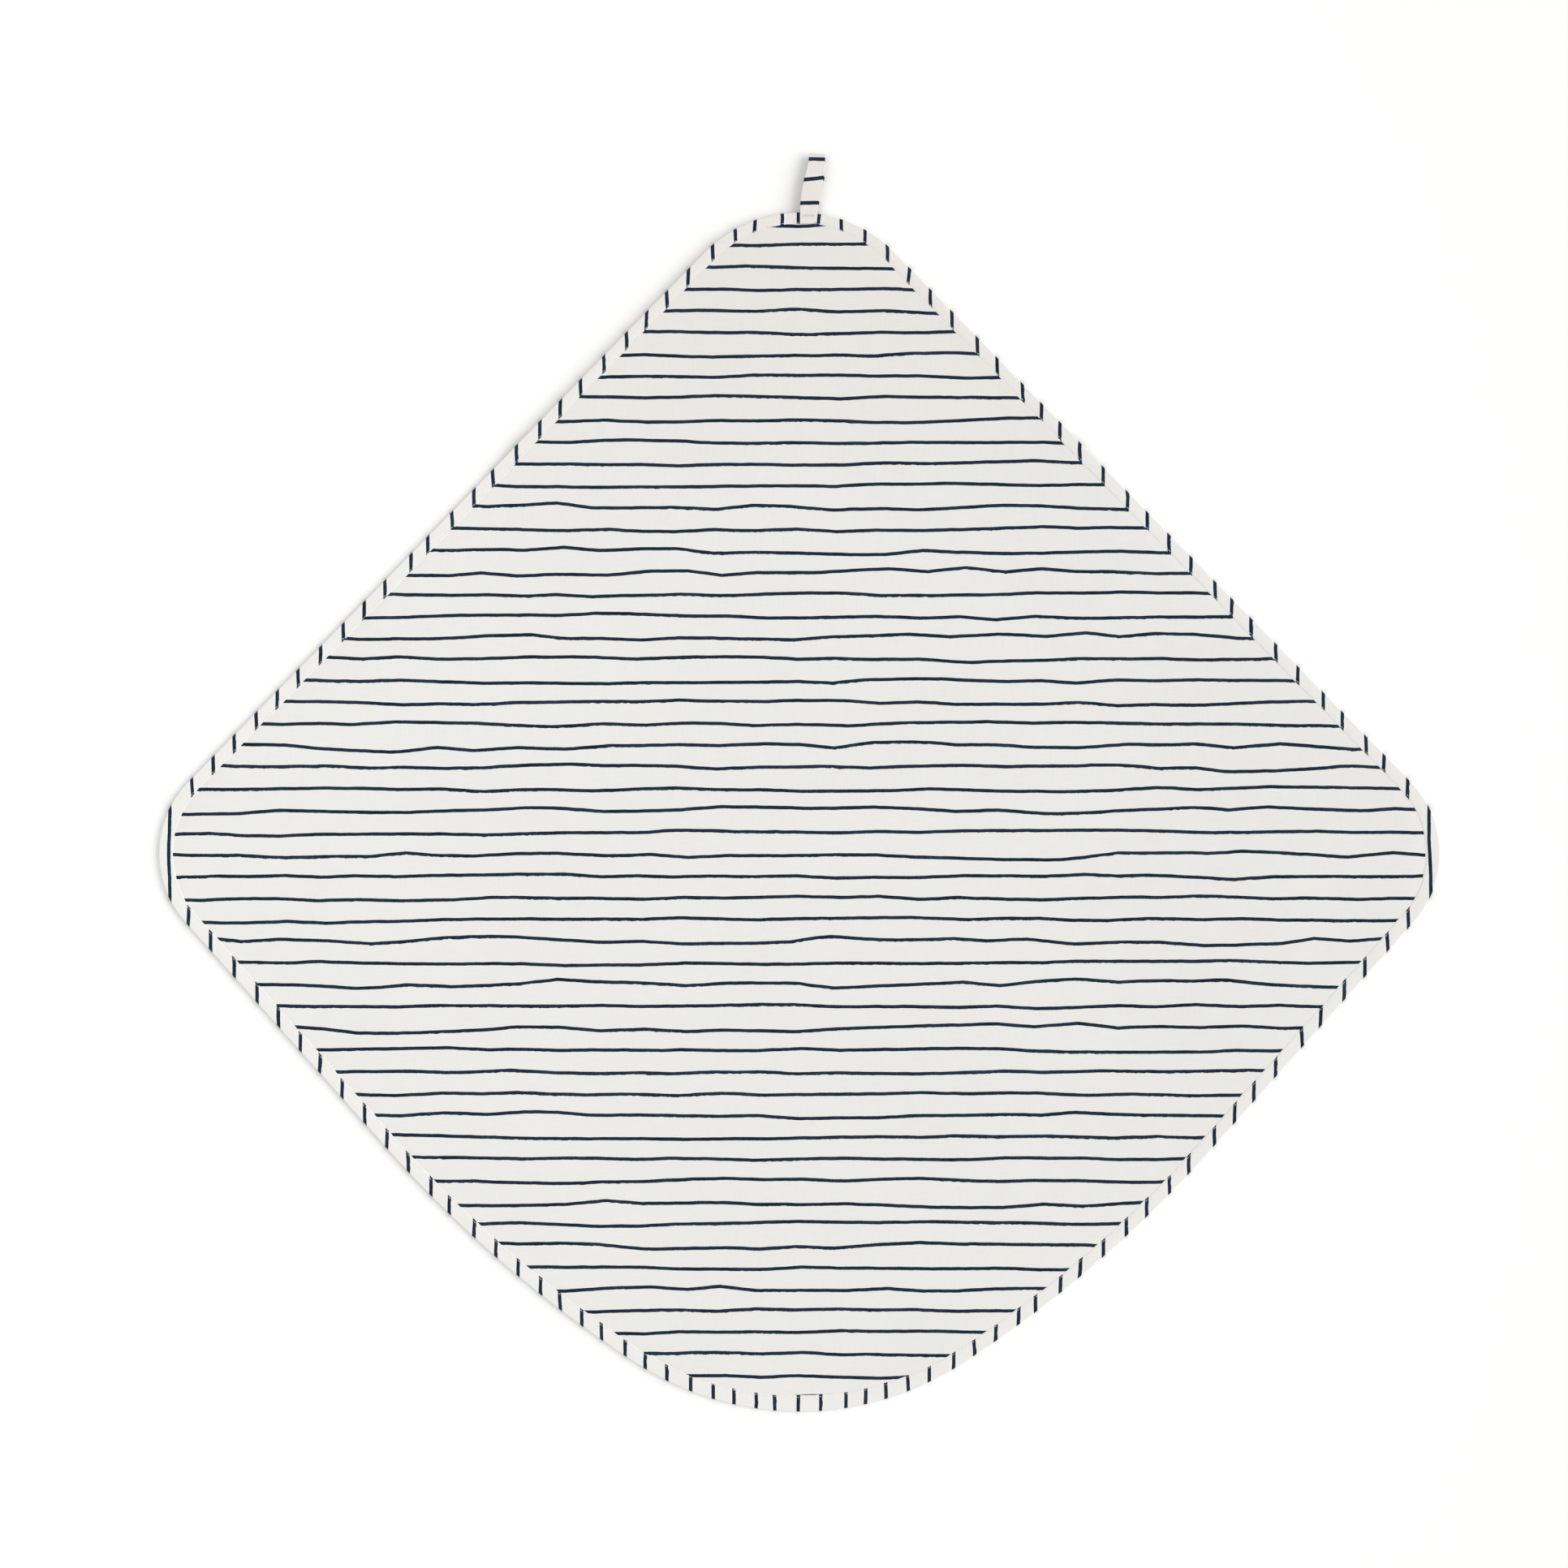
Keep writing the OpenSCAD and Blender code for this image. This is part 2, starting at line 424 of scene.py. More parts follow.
def stripes(m, along, across, pen):
    """The share of ink at a point of the print."""
    level = m.math("DIVIDE", m.minus(STRIPE_Y, across), PITCH)
    line = m.math("ROUND", level)
    above = m.minus(m.times(m.minus(line, level), PITCH), pen_height(m, along, line))
    # The pen's upper edge runs clean, and its lower edge breaks up in places
    upper = m.total(m.times(line_noise(m, along, line, 45.0, 9.4, 2.0), 0.7 * MM), pen)
    ragged = m.step(line_noise(m, along, line, 16.0, 2.2, 0.0), 0.02, 0.14, 0.25, 1.0)
    teeth = line_noise(m, along, line, 210.0, 7.9, 3.0, 0.6)
    lower = m.total(pen, m.times(m.times(teeth, ragged), 1.9 * MM))
    outside = m.math("MAXIMUM", m.minus(above, upper), m.minus(m.times(above, -1.0), lower))
    return m.step(outside, INK_EDGE, -INK_EDGE)


def printed_cotton(name, turned=False, cloth=CLOTH, pen=PANEL_PEN):
    """Plain-woven cotton with the printed lines. Turned runs them the other way, as on the binding."""
    m = Nodes(name)
    x, y, z = m.rest()
    if turned:
        ink = stripes(m, m.total(y, BINDING_ALONG), m.minus(BINDING_ACROSS, x), pen)
    else:
        ink = stripes(m, x, m.times(y, PRINT_STRETCH), pen)
    # Threads of slightly different tone, long in the warp and in the weft
    warp = m.noise(m.vector(m.times(x, ACROSS_THREAD), m.times(y, ALONG_THREAD)), 1.0, 1.0)
    weft = m.noise(m.vector(m.times(x, ALONG_THREAD), m.times(y, ACROSS_THREAD)), 1.0, 1.0)
    threads = m.total(warp, weft)
    place = m.vector(x, y, z)
    cloudy = m.noise(place, 7.0, 3.0, 0.55)
    blotch = m.noise(place, 55.0, 2.0)
    tone = m.total(m.times(threads, 0.075), m.times(cloudy, 0.045), m.times(blotch, 0.022))
    # Painted shade: the cloth's colour is made darker, and a touch warmer, towards the corner at the tip
    painted_corner_shade = m.step(y, 0.55 * MOUTH_Y, TIP_Y)
    red = m.total(tone, 1.0, m.times(painted_corner_shade, -0.035))
    green = m.total(red, m.times(painted_corner_shade, -0.011))
    blue = m.total(red, m.times(cloudy, -0.012), m.times(painted_corner_shade, -0.014))
    base = m.mix(1.0, cloth, m.vector(red, green, blue), "MULTIPLY")
    # The ink sinks into the cloth: thinner on the high threads
    worn = m.math("MULTIPLY", ink, m.total(0.996, m.times(threads, -0.06)), clamp=True)
    depth = m.total(0.9, m.times(threads, 0.5), m.times(blotch, 1.2))
    m.put(m.mix(worn, base, m.shaded(INK, depth)), m.shader.inputs["Base Color"])
    m.put(m.minus(0.88, m.times(ink, 0.10)), m.shader.inputs["Roughness"])
    # The weave's small hills, and the fainter unevenness of its threads
    across = m.math("SINE", m.times(x, TAU / WEAVE_REPEAT))
    down = m.math("SINE", m.times(y, TAU / WEAVE_REPEAT))
    weave = m.times(across, down)
    height = m.total(m.times(weave, 0.35), m.times(threads, 0.8), m.times(blotch, 2.0))
    m.put(m.bump(height, 0.06 * MM, 0.55), m.shader.inputs["Normal"])
    m.put(m.minus(0.22, m.times(ink, 0.19)), m.shader.inputs["Specular IOR Level"])
    m.put(m.minus(0.12, m.times(ink, 0.115)), m.shader.inputs["Sheen Weight"])
    m.shader.inputs["Sheen Roughness"].default_value = 0.5
    return m.material


def terry_cloth(name):
    """Looped cotton pile: close rows of small loops, ruffled in patches."""
    m = Nodes(name)
    x, y, z = m.rest()
    place = m.vector(x, y, z)
    u = m.total(x, m.times(m.noise(place, 140.0, 2.0), 1.6 * MM))
    v = m.total(y, m.times(m.noise(place, 170.0, 1.0), 1.6 * MM))
    # Loops lie over to one side or the other: two sets of long cells, and the higher one shows
    leaning = []
    for wide, tall in ((620.0, 1050.0), (1050.0, 620.0)):
        cells = m.add("ShaderNodeTexVoronoi", feature="F1")
        m.put(m.vector(m.times(u, wide), m.times(v, tall)), cells.inputs["Vector"])
        cells.inputs["Scale"].default_value = 1.0
        cells.inputs["Randomness"].default_value = 0.9
        leaning.append(m.minus(1.0, m.times(cells.outputs["Distance"], 1.25)))
    loops = m.math("MAXIMUM", leaning[0], leaning[1])
    twist = m.noise(m.vector(u, v), 3400.0, 2.0)
    nap = m.noise(place, 36.0, 3.0)
    height = m.total(loops, m.times(twist, 0.35), m.times(nap, 0.7))
    # Painted shade: the pile is darker down between the loops and lighter on their tops; the nap adds
    # random tone
    shade = m.total(0.74, m.times(loops, 0.26), m.times(nap, 0.10))
    m.put(m.shaded(TERRY_COTTON, shade), m.shader.inputs["Base Color"])
    m.put(m.bump(height, 1.1 * MM, 1.0), m.shader.inputs["Normal"])
    m.put(m.total(0.94, m.times(loops, -0.06)), m.shader.inputs["Roughness"])
    m.shader.inputs["Specular IOR Level"].default_value = 0.15
    m.shader.inputs["Sheen Weight"].default_value = 0.35
    m.shader.inputs["Sheen Roughness"].default_value = 0.6
    return m.material


def thread_material(name):
    """Two-ply sewing thread, its plies winding round each other."""
    m = Nodes(name)
    x, y, z = m.rest()
    ply = m.math("SINE", m.times(m.total(x, y, z), TAU / PLY_REPEAT))
    fuzz = m.noise(m.vector(x, y, z), 5200.0, 2.0)
    # Painted shade: the thread is darker in the grooves between its plies and lighter on their crowns;
    # the fuzz is random tone
    shade = m.total(0.95, m.times(ply, 0.045), m.times(fuzz, 0.08))
    m.put(m.shaded(THREAD_COTTON, shade), m.shader.inputs["Base Color"])
    m.put(m.bump(m.total(ply, fuzz), 0.04 * MM, 0.7), m.shader.inputs["Normal"])
    m.put(m.total(0.62, m.times(fuzz, 0.1)), m.shader.inputs["Roughness"])
    m.shader.inputs["Sheen Weight"].default_value = 0.2
    return m.material


def satin_label(name):
    """Blank satin ribbon: long weft floats, and a row of stitches near each end."""
    m = Nodes(name)
    x, y, _ = m.rest()
    floats = m.noise(m.vector(m.times(x, 160.0), m.times(y, 3200.0)), 1.0, 2.0)
    cloudy = m.noise(m.vector(x, y), 90.0, 2.0)
    from_row = m.math("ABSOLUTE", m.minus(m.math("ABSOLUTE", y), LABEL_L / 2 - LABEL_ROW_INSET))
    row = m.step(from_row, 0.34 * MM, 0.16 * MM)
    beat = m.math("SINE", m.times(x, TAU / LABEL_STITCH))
    stitch = m.times(row, m.step(beat, -0.55, -0.25))
    # Painted shade: the stitch row is darker where it is pressed into the satin; the stitches are
    # lighter thread, and the floats and clouds are random tone
    shade = m.total(0.97, m.times(floats, 0.08), m.times(cloudy, 0.05), m.times(row, -0.10),
                    m.times(stitch, 0.14))
    m.put(m.shaded(SATIN, shade), m.shader.inputs["Base Color"])
    height = m.total(m.times(floats, 0.4), m.times(stitch, 3.0), m.times(row, -1.5))
    m.put(m.bump(height, 0.12 * MM, 0.7), m.shader.inputs["Normal"])
    m.put(m.total(0.42, m.times(floats, 0.12)), m.shader.inputs["Roughness"])
    m.shader.inputs["Sheen Weight"].default_value = 0.1
    return m.material


PRINT = printed_cotton("printed_cotton")
BINDING = printed_cotton("binding_cotton", turned=True, cloth=BINDING_CLOTH, pen=BINDING_PEN)
TAPE = printed_cotton("loop_cotton", cloth=LOOP_CLOTH, pen=LOOP_PEN)
TERRY = terry_cloth("terry")
THREAD = thread_material("thread")
LABEL = satin_label("label")


def dress(obj, material, slot, *nodes):
    """Gives a piece its material and hides the CAD nodes that it stands for. The slot is not used."""
    obj.data.materials.append(material)
    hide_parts(*nodes)


def bend_at_fold(obj):
    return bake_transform(obj)


# ---------------------------------------------------------------- the two big sheets

TUCK = 2.2 * MM
SHEET_STEP = 5.5 * MM
SHEET_COLUMNS = 165
CREASE_STEP = 1.3 * MM
CREASE_MARGIN = 3 * MM
TERRY_PILE = 0.45 * MM
# The binding holds the sheets flat this far in, and draws them level this far beyond it
BINDING_COVER = 9 * MM
DRAWN_LEVEL = 9 * MM


def sheet_rows():
    """Heights of a sheet's rows: even along the outline, and close together at the crease."""
    level = HALF_P[:, 1] - TUCK * np.sin(HALF_A)
    s_low, s_high = np.interp([BOTTOM_Y + 2 * TUCK, TIP_Y - 2 * TUCK], level, HALF_S)
    count = int(round((s_high - s_low) / SHEET_STEP))
    rows = np.interp(np.linspace(s_low, s_high, count + 1), HALF_S, level)
    close = np.arange(CREASE_START - CREASE_MARGIN, CREASE_END + CREASE_MARGIN, CREASE_STEP)
    rows = rows[(rows < close[0] - CREASE_STEP) | (rows > close[-1] + CREASE_STEP)]
    return np.sort(np.concatenate([rows, close]))


def sheet_grid():
    """Points of a big sheet, tucked in under the binding all round."""
    rows = sheet_rows()
    share = np.linspace(-1, 1, SHEET_COLUMNS + 1)
    y = np.repeat(rows[:, None], len(share), axis=1)
    return half_width(rows, TUCK)[:, None] * share[None, :], y


def edge_distance(x, y):
    """Distance in from the outline, near enough, for points of a sheet."""
    wide = half_width(y, 0)
    slope = np.interp(y, HALF_P[:, 1], np.cos(HALF_A))
    return np.minimum((wide - np.abs(x)) * slope, np.minimum(TIP_Y - y, y - BOTTOM_Y))


def cloth_rise(x, y):
    """How far the cloth stands above its resting height: flat in the binding, drawn level beside it."""
    d = edge_distance(x, y)
    beside = smooth(1 - (d - BINDING_COVER) / DRAWN_LEVEL)
    free = smooth((d - 8 * MM) / (1.5 * MM))
    drawn = 0.2 * MM * beside + swell(x, y) * (1 - beside)
    return free * drawn - 0.04 * MM * (1 - free)


def make_print_sheet():
    x, y = sheet_grid()
    top = BODY_TOP + lift(y) + cloth_rise(x, y)
    obj = plate("printed_panel", x, y, top, top - PRINT_T)
    dress(obj, PRINT, "printed_cotton", "outer_panel", "outer_corner")
    return bend_at_fold(obj)


def pile(x, y, size):
    """Small clumps of pile, as heights from 0 to size."""
    a = np.sin(x * 1900 + 2.3 * np.sin(y * 700)) * np.sin(y * 2100 + 1.9 * np.sin(x * 650))
    b = np.sin(x * 860 + y * 1040 + 1.3) * np.sin(x * 1110 - y * 790)
    return size * (0.5 + 0.28 * a + 0.22 * b)


ALONG_LABEL = facing(math.radians(45))
ACROSS_LABEL = facing(math.radians(-45))


def label_bed(x, y):
    """1 where the care label presses the pile flat, fading to 0 a few millimetres round it."""
    dx, dy = x - LABEL_MIDDLE[0], y - LABEL_MIDDLE[1]
    along = np.abs(dx * ALONG_LABEL[0] + dy * ALONG_LABEL[1]) - LABEL_L / 2
    across = np.abs(dx * ACROSS_LABEL[0] + dy * ACROSS_LABEL[1]) - LABEL_W / 2
    return smooth(1 - (np.maximum(along, across) - 6 * MM) / (4 * MM))


def make_terry_sheet():
    x, y = sheet_grid()
    under = smooth((edge_distance(x, y) - BINDING_COVER) / (3 * MM))
    rest_low = lift(y) + 0.5 * MM * (1 - under)
    bottom = rest_low + pile(x, y, TERRY_PILE) * under
    bed = label_bed(x, y)
    bottom = bottom * (1 - bed) + (LABEL_TOP + 0.15 * MM) * bed
    top = BODY_TOP - PRINT_T - 0.05 * MM + lift(y) + cloth_rise(x, y)
    obj = plate("terry_lining", x, y, top, bottom)
    dress(obj, TERRY, "terry", "terry_panel", "terry_corner")
    return bend_at_fold(obj)


# ---------------------------------------------------------------- the edge binding

RING_STEP = 2.6 * MM
RING_CLOSE_STEP = 1.3 * MM
BINDING_TAPE = 0.45 * MM
STITCH_LENGTH = 2.5 * MM
STITCH_PITCH = 3.1 * MM
# A stitch's height at its quarters: it dives into the cloth at both ends
STITCH_BOW = (-0.5, 0.7, 1.0, 0.7, -0.5)


def ring_lengths():
    """Lengths along the whole outline at which the binding's rings stand."""
    crease = np.interp([CREASE_START - CREASE_MARGIN, MOUTH_Y + 12 * MM], HALF_P[:, 1], HALF_S)
    right = fine_steps(0, HALF_LENGTH, RING_STEP, RING_CLOSE_STEP, *crease)
    return np.concatenate([right, 2 * HALF_LENGTH - right[-2:0:-1]])


def outline_at(s):
    """Points and outward directions at lengths s round the whole outline, from the bottom."""
    s = np.asarray(s, float) % (2 * HALF_LENGTH)
    left = s > HALF_LENGTH
    along = np.where(left, 2 * HALF_LENGTH - s, s)
    point = np.stack([np.interp(along, HALF_S, HALF_P[:, k]) for k in (0, 1)], axis=-1)
    angle = np.interp(along, HALF_S, HALF_A)
    normal = np.stack([np.cos(angle), np.sin(angle)], axis=-1)
    point[left, 0] *= -1
    normal[left, 0] *= -1
    return point, normal


def binding_width(normal):
    """The binding spreads a little on the side corners and the bottom, and narrows at the tip."""
    side = np.abs(normal[:, 0]) ** 6
    bottom = np.clip(-normal[:, 1], 0, 1) ** 6
    tip = np.clip(normal[:, 1], 0, 1) ** 6
    return (9.8 + 1.4 * side + 2.9 * bottom - 0.9 * tip) * MM


def binding_levels(y):
    """The heights of the binding's upper and lower faces."""
    hood_inside = smooth((y - (MOUTH_Y - 6 * MM)) / (6 * MM))
    top = EDGE_TOP + lift(y)
    bottom = lift(y) * (1 - hood_inside)
    return top, bottom


# The folded tape in section: share of the width in from the edge, and height above the
# middle as a share of half the thickness
BINDING_SECTION = [(1.0, 0.68), (0.998, 0.80), (0.985, 0.87), (0.95, 0.915), (0.92, 0.925), (0.89, 0.91),
                   (0.86, 0.93), (0.80, 0.955), (0.70, 0.98), (0.50, 1.0), (0.25, 1.0), (0.12, 1.0),
                   (0.07, 0.995), (0.04, 0.975), (0.016, 0.90), (0.004, 0.65), (0.0, 0.0)]
# Where the seam runs, as shares of the same width and half thickness
STITCH_SHARE = 0.89
STITCH_HEIGHT = 0.92


def section_points():
    """The tape's outer face from the upper inner edge round to the lower one."""
    lower = [(share, -height) for share, height in BINDING_SECTION[-2::-1]]
    return np.array(BINDING_SECTION + lower)


def pucker(s, d_share, seed):
    """Small gathers that the stitches pull in the tape, from -1 to 1, fading away from the seam."""
    beat = np.sin(TAU * s / (8.3 * MM) + 1.7 * np.sin(TAU * s / (47 * MM) + seed))
    strength = 0.55 + 0.45 * np.sin(TAU * s / (131 * MM) + 2.0 * seed)
    return beat * strength * smooth((d_share - 0.25) / 0.6)


def make_edge_binding():
    """The tape folded over the towel's edge, with the inside of the tape one thickness in."""
    s = ring_lengths()
    point, normal = outline_at(s)
    width = binding_width(normal)
    section = section_points()
    share, height = section[:, 0], section[:, 1]
    wobble = 0.25 * MM * np.sin(TAU * s / (61 * MM)) + 0.15 * MM * np.sin(TAU * s / (23 * MM) + 1.1)
    d = share[None, :] * (width + wobble)[:, None]
    x = point[:, 0:1] - d * normal[:, 0:1]
    y = point[:, 1:2] - d * normal[:, 1:2]
    top, bottom = binding_levels(y)
    middle, half = (top + bottom) / 2, (top - bottom) / 2
    z = middle + half * height[None, :]
    gathers = pucker(s[:, None], share[None, :], 0.4)
    z = z + 0.06 * MM * gathers * (height[None, :] > 0.3)
    z = np.maximum(z, 0.02 * MM)
    rings, around = x.shape
    inner_d = np.maximum(d, BINDING_TAPE)
    xi = point[:, 0:1] - inner_d * normal[:, 0:1]
    yi = point[:, 1:2] - inner_d * normal[:, 1:2]
    zi = middle + (z - middle) * (half - BINDING_TAPE) / half
    outer = np.stack([x, y, z], axis=-1)
    inner = np.stack([xi, yi, zi], axis=-1)[:, ::-1]
    ring = np.concatenate([outer, inner], axis=1)
    faces = quads(rings, 2 * around, closed_rows=True, closed_cols=True)
    obj = mesh_object("edge_tape", ring.reshape(-1, 3), faces)
    dress(obj, BINDING, "binding", "edge_binding", "corner_binding")
    return bend_at_fold(obj)


def lockstitch(point_of, lengths, rise, radius):
    """Short bowed stitches; point_of(length) gives a point on the cloth."""
    paths = []
    for s in lengths:
        run = np.linspace(s - STITCH_LENGTH / 2, s + STITCH_LENGTH / 2, len(STITCH_BOW))
        paths.append([point_of(at) + np.array([0, 0, rise * bow]) for at, bow in zip(run, STITCH_BOW)])
    return tube_mesh(paths, radius)


def make_edge_stitches():
    def on_tape(s):
        point, normal = outline_at([s])
        width = binding_width(normal)[0]
        at = point[0] - STITCH_SHARE * width * normal[0]
        top, bottom = binding_levels(at[1])
        return np.array([at[0], at[1], (top + bottom) / 2 + (top - bottom) / 2 * STITCH_HEIGHT])

    count = int(2 * HALF_LENGTH / STITCH_PITCH)
    lengths = (np.arange(count) + 0.5) * (2 * HALF_LENGTH / count)
    verts, faces = lockstitch(on_tape, lengths, rise=0.05 * MM, radius=0.14 * MM)
    obj = mesh_object("edge_stitches", verts, faces)
    dress(obj, THREAD, "thread", "edge_stitching", "corner_stitching")
    return bend_at_fold(obj)


# ---------------------------------------------------------------- the hood

HOOD_INSET = 3.0 * MM
HOOD_START = MOUTH_Y + 0.8 * MM
HOOD_PILE = 0.6 * MM
HOOD_PRINT_STEP = 2.6 * MM
HOOD_PRINT_COLUMNS = 80
HOOD_LINING_STEP = 1.6 * MM
HOOD_LINING_COLUMNS = 150
# The hood's raw edges lie between these distances in from the outline
SEAM_OUTER = 2.5 * MM
SEAM_INNER = 9.5 * MM
SEAM_STEPS = 260
MOUTH_TAPE = 0.35 * MM
MOUTH_STEPS = 110


def open_with_hood(obj):
    """Bakes a hood piece's place into its mesh."""
    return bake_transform(obj)


def half_grid(side, step, columns):
    """Rows from the hood's mouth to its tip, and columns from the middle out to one seam."""
    level = HALF_P[:, 1] - HOOD_INSET * np.sin(HALF_A)
    y_high = TIP_Y - HOOD_INSET - 0.3 * MM
    s_low, s_high = np.interp([HOOD_START, y_high], level, HALF_S)
    rows = np.interp(np.linspace(s_low, s_high, int((s_high - s_low) / step) + 1), HALF_S, level)
    share = np.linspace(0, 1, columns + 1) if side > 0 else np.linspace(-1, 0, columns + 1)
    y = np.repeat(rows[:, None], len(share), axis=1)
    return half_width(rows, HOOD_INSET)[:, None] * share[None, :], y


def make_hood_half(side, word):
    """Half of the hood's two layers: its print, which faces the floor, and its terry lining."""
    x, y = half_grid(side, HOOD_PRINT_STEP, HOOD_PRINT_COLUMNS)
    under = HOOD_PRINT_Z + 0.15 * MM * np.sin(x * 70) * np.sin(y * 55 + 1)
    print_half = plate(f"hood_print_{word}", x, y, np.full_like(x, LINING_Z - 0.03 * MM), under)
    dress(print_half, PRINT, "printed_cotton", "hood_outer")
    open_with_hood(print_half)
    x, y = half_grid(side, HOOD_LINING_STEP, HOOD_LINING_COLUMNS)
    over = LINING_TOP - 0.25 * MM + pile(x, y, HOOD_PILE)
    lining_half = plate(f"hood_lining_{word}", x, y, over, np.full_like(x, LINING_Z))
    dress(lining_half, TERRY, "terry", "hood_lining")
    open_with_hood(lining_half)
    return print_half, lining_half


def make_mouth_tape(side, word):
    """Half of the tape folded round the hood's mouth, from the middle out to one seam."""
    section = section_points()
    share, height = section[:, 0], section[:, 1]
    wide = half_width(MOUTH_Y + 4 * MM, HOOD_INSET)
    run = np.linspace(0, wide, MOUTH_STEPS) * side
    x, y = np.meshgrid(run, MOUTH_Y + share * MOUTH_BIND_W, indexing="ij")
    half = MOUTH_TOP / 2
    gathers = pucker(x, share[None, :], 1.9)
    z = half + half * height[None, :] * 0.97 + 0.05 * MM * gathers
    z = np.clip(z, 0.03 * MM, MOUTH_TOP + 0.1 * MM)
    x = side * np.minimum(np.abs(x), half_width(y, HOOD_INSET))
    inner_y = np.maximum(y, MOUTH_Y + MOUTH_TAPE)
    inner_z = half + (z - half) * (half - MOUTH_TAPE) / half
    outer = np.stack([x, y, z], axis=-1)
    inner = np.stack([x, inner_y, inner_z], axis=-1)[:, ::-1]
    ring = np.concatenate([outer, inner], axis=1)
    if side < 0:
        ring = ring[::-1]
    faces = quads(ring.shape[0], ring.shape[1], closed_cols=True)
    obj = mesh_object(f"hood_mouth_tape_{word}", ring.reshape(-1, 3), faces)
    dress(obj, BINDING, "binding", "hood_mouth_binding")
    return open_with_hood(obj)


def make_mouth_stitches(side, word):
    """Rows of stitches on both faces of the tape round the hood's mouth."""
    wide = half_width(MOUTH_Y + 9 * MM, HOOD_INSET) - 8 * MM
    lengths = (np.arange(int(wide / STITCH_PITCH)) + 0.5) * STITCH_PITCH
    line_y = MOUTH_Y + STITCH_SHARE * MOUTH_BIND_W
    upper = lockstitch(lambda s: np.array([side * s, line_y, MOUTH_TOP - 0.02 * MM]),
                       lengths, rise=0.14 * MM, radius=0.17 * MM)
    lower = lockstitch(lambda s: np.array([side * s, line_y, 0.16 * MM]),
                       lengths, rise=-0.04 * MM, radius=0.15 * MM)
    verts = list(upper[0]) + list(lower[0])
    faces = upper[1] + [[i + len(upper[0]) for i in f] for f in lower[1]]
    obj = mesh_object(f"hood_mouth_stitches_{word}", verts, faces)
    dress(obj, THREAD, "thread", "hood_mouth_stitching")
    return open_with_hood(obj)


def make_seam_allowance():
    """The hood's raw edges, pressed flat between the layers of the edge binding."""
    start = np.interp(MOUTH_Y + 7 * MM, HALF_P[:, 1], HALF_S)
    point, normal = outline_at(np.linspace(start, 2 * HALF_LENGTH - start, SEAM_STEPS))
    d = np.array([SEAM_OUTER, SEAM_INNER])
    x = point[:, 0:1] - d[None, :] * normal[:, 0:1]
    y = point[:, 1:2] - d[None, :] * normal[:, 1:2]
    top = np.full_like(x, CORNER_LIFT - 0.1 * MM)
    bottom = np.full_like(x, 0.6 * MM)
    obj = plate("hood_seam_edges", x[:, ::-1], y[:, ::-1], top, bottom)
    dress(obj, TERRY, "terry", "hood_seam_allowance")
    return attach(obj, "hood_back")


# ---------------------------------------------------------------- the hanging loop

LOOP_LEAN = 6.9 * MM
LOOP_TAPE = 0.55 * MM
LOOP_LOW = low("hanging_loop")[2]
LOOP_HIGH = high("hanging_loop")[2]
LOOP_STEPS = 190
SPLINE_STEPS = 24
# The tape's upper face in section, as shares of its half width and half thickness: edges folded
# in and a little thicker than its middle, and a row of stitches along the right-hand edge
LOOP_SECTION = [(-1.0, 0.0), (-0.99, 0.7), (-0.95, 1.0), (-0.86, 0.95), (-0.5, 0.86), (0.0, 0.84),
                (0.5, 0.88), (0.70, 1.0), (0.76, 0.62), (0.82, 1.0), (0.95, 1.03), (0.99, 0.7),
                (1.0, 0.0)]
TACK_Y = (low("loop_bar_tack")[1] + high("loop_bar_tack")[1]) / 2
TACK_TEETH = 5
TACK_REACH = 0.36 * LOOP_W
TACK_DEPTH = 0.95 * MM
TACK_SHIFT = 0.22 * MM
TACK_THREAD = 0.17 * MM
# The thread's height over the tape at shares of one stroke of the zigzag, in millimetres
TACK_BOW = [(0, -0.12), (0.25, 0.04), (0.5, 0.08), (0.75, 0.04), (1, -0.12)]


def loop_share(y):
    """How far up the free part of the loop a height is, from 0 at the towel's edge to 1 at its fold."""
    return np.clip((y - TIP_Y) / (LOOP_TIP_Y - TIP_Y), 0, 1)


def loop_centre(y):
    """The middle of the loop's tape at each height: upright on the binding, then leaning."""
    t = loop_share(y)
    return LOOP_X - 0.3 * MM + LOOP_LEAN * (0.5 * smooth(t) + 0.5 * (1 - (1 - t) ** 1.5))


def loop_half_width(y):
    t = loop_share(y)
    return LOOP_W / 2 * (0.985 + 0.165 * np.sin(math.pi * np.clip(1.15 * t, 0, 1)) - 0.05 * t * t)


def loop_path():
    """The tape's own middle line in the YZ plane, from the lower end round the fold to the upper end.

    Past the binding the two layers lie apart, as in the CAD loop, so that a hook fits between them.
    """
    low_z = CORNER_EDGE_TOP + 0.42 * MM
    high_z = CORNER_EDGE_TOP + 1.12 * MM
    under = LOOP_LOW + LOOP_TAPE / 2
    over = LOOP_HIGH - LOOP_TAPE / 2
    middle = (under + over) / 2
    apart = TIP_Y + 8.5 * MM
    halfway = (apart + LOOP_TIP_Y) / 2
    lower = [(TAIL_Y + 0.3 * MM, low_z), (TIP_Y - 2 * MM, low_z), (TIP_Y + 1.2 * MM, low_z - 0.4 * MM),
             (apart - 2.2 * MM, under + 0.8 * MM), (apart, under + 0.1 * MM), (halfway, under),
             (LOOP_TIP_Y - 3.6 * MM, under)]
    fold = [(LOOP_TIP_Y - 1.3 * MM, under + 0.9 * MM), (LOOP_TIP_Y - 0.4 * MM, middle),
            (LOOP_TIP_Y - 1.3 * MM, over - 0.9 * MM)]
    upper = [(LOOP_TIP_Y - 3.6 * MM, over), (halfway, over), (apart, over),
             (TIP_Y + 2 * MM, high_z), (TIP_Y - 2 * MM, high_z), (TAIL_Y, high_z)]
    return np.array(lower + fold + upper)


